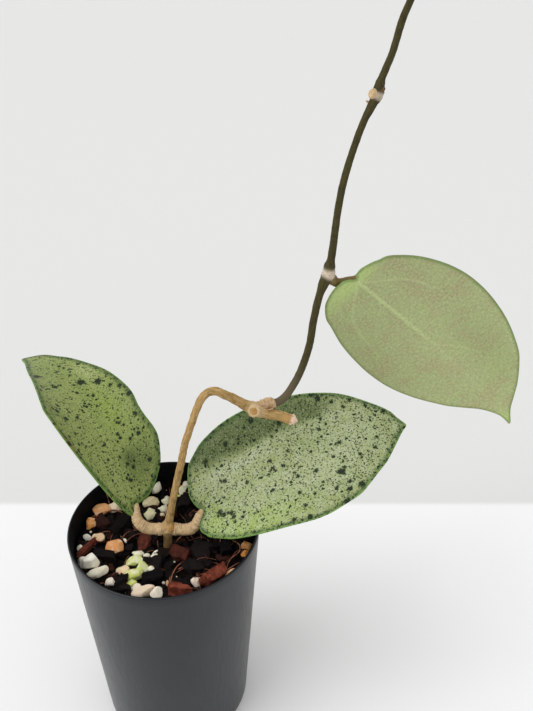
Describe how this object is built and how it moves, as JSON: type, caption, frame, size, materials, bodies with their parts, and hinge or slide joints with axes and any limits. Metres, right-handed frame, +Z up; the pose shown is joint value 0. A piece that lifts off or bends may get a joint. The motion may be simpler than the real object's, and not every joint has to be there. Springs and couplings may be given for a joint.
{
  "type": "potted hoya plant",
  "caption": "Young hoya cutting in a small deep nursery pot: large speckled oval leaves on a bare arching stem, and a long new vine that climbs from beside the old cut end.",
  "frame": {"origin": "centre of the pot's flat base, on the surface that the pot stands on", "axes": "+Z is up; -Y faces the viewer of the picture; +X is to that viewer's right, the side the vine leans to"},
  "size_m": [0.2083, 0.1113, 0.3339],
  "materials": {
    "pot": "satin charcoal plastic, thin and moulded",
    "potting_mix": "dark damp bark and coir with pale pumice",
    "old_stem": "matt tan bark",
    "vine": "matt olive-brown bark",
    "petiole": "matt beige, finely wrinkled",
    "young_petiole": "matt olive-brown",
    "leaf_left": "leathery, soft satin, mid green with dark speckles",
    "leaf_right": "leathery, soft satin, silvery green with dark speckles",
    "leaf_upper": "leathery, matt underside, pale olive with lighter veins"
  },
  "bodies": {
    "root": {"pot": "pot", "potting_mix": "potting_mix", "old_stem": "old_stem", "vine": "vine", "petiole_left": "petiole", "petiole_right": "petiole", "petiole_upper": "young_petiole", "leaf_left": "leaf_left", "leaf_right": "leaf_right", "leaf_upper": "leaf_upper"}
  },
  "joints": []
}
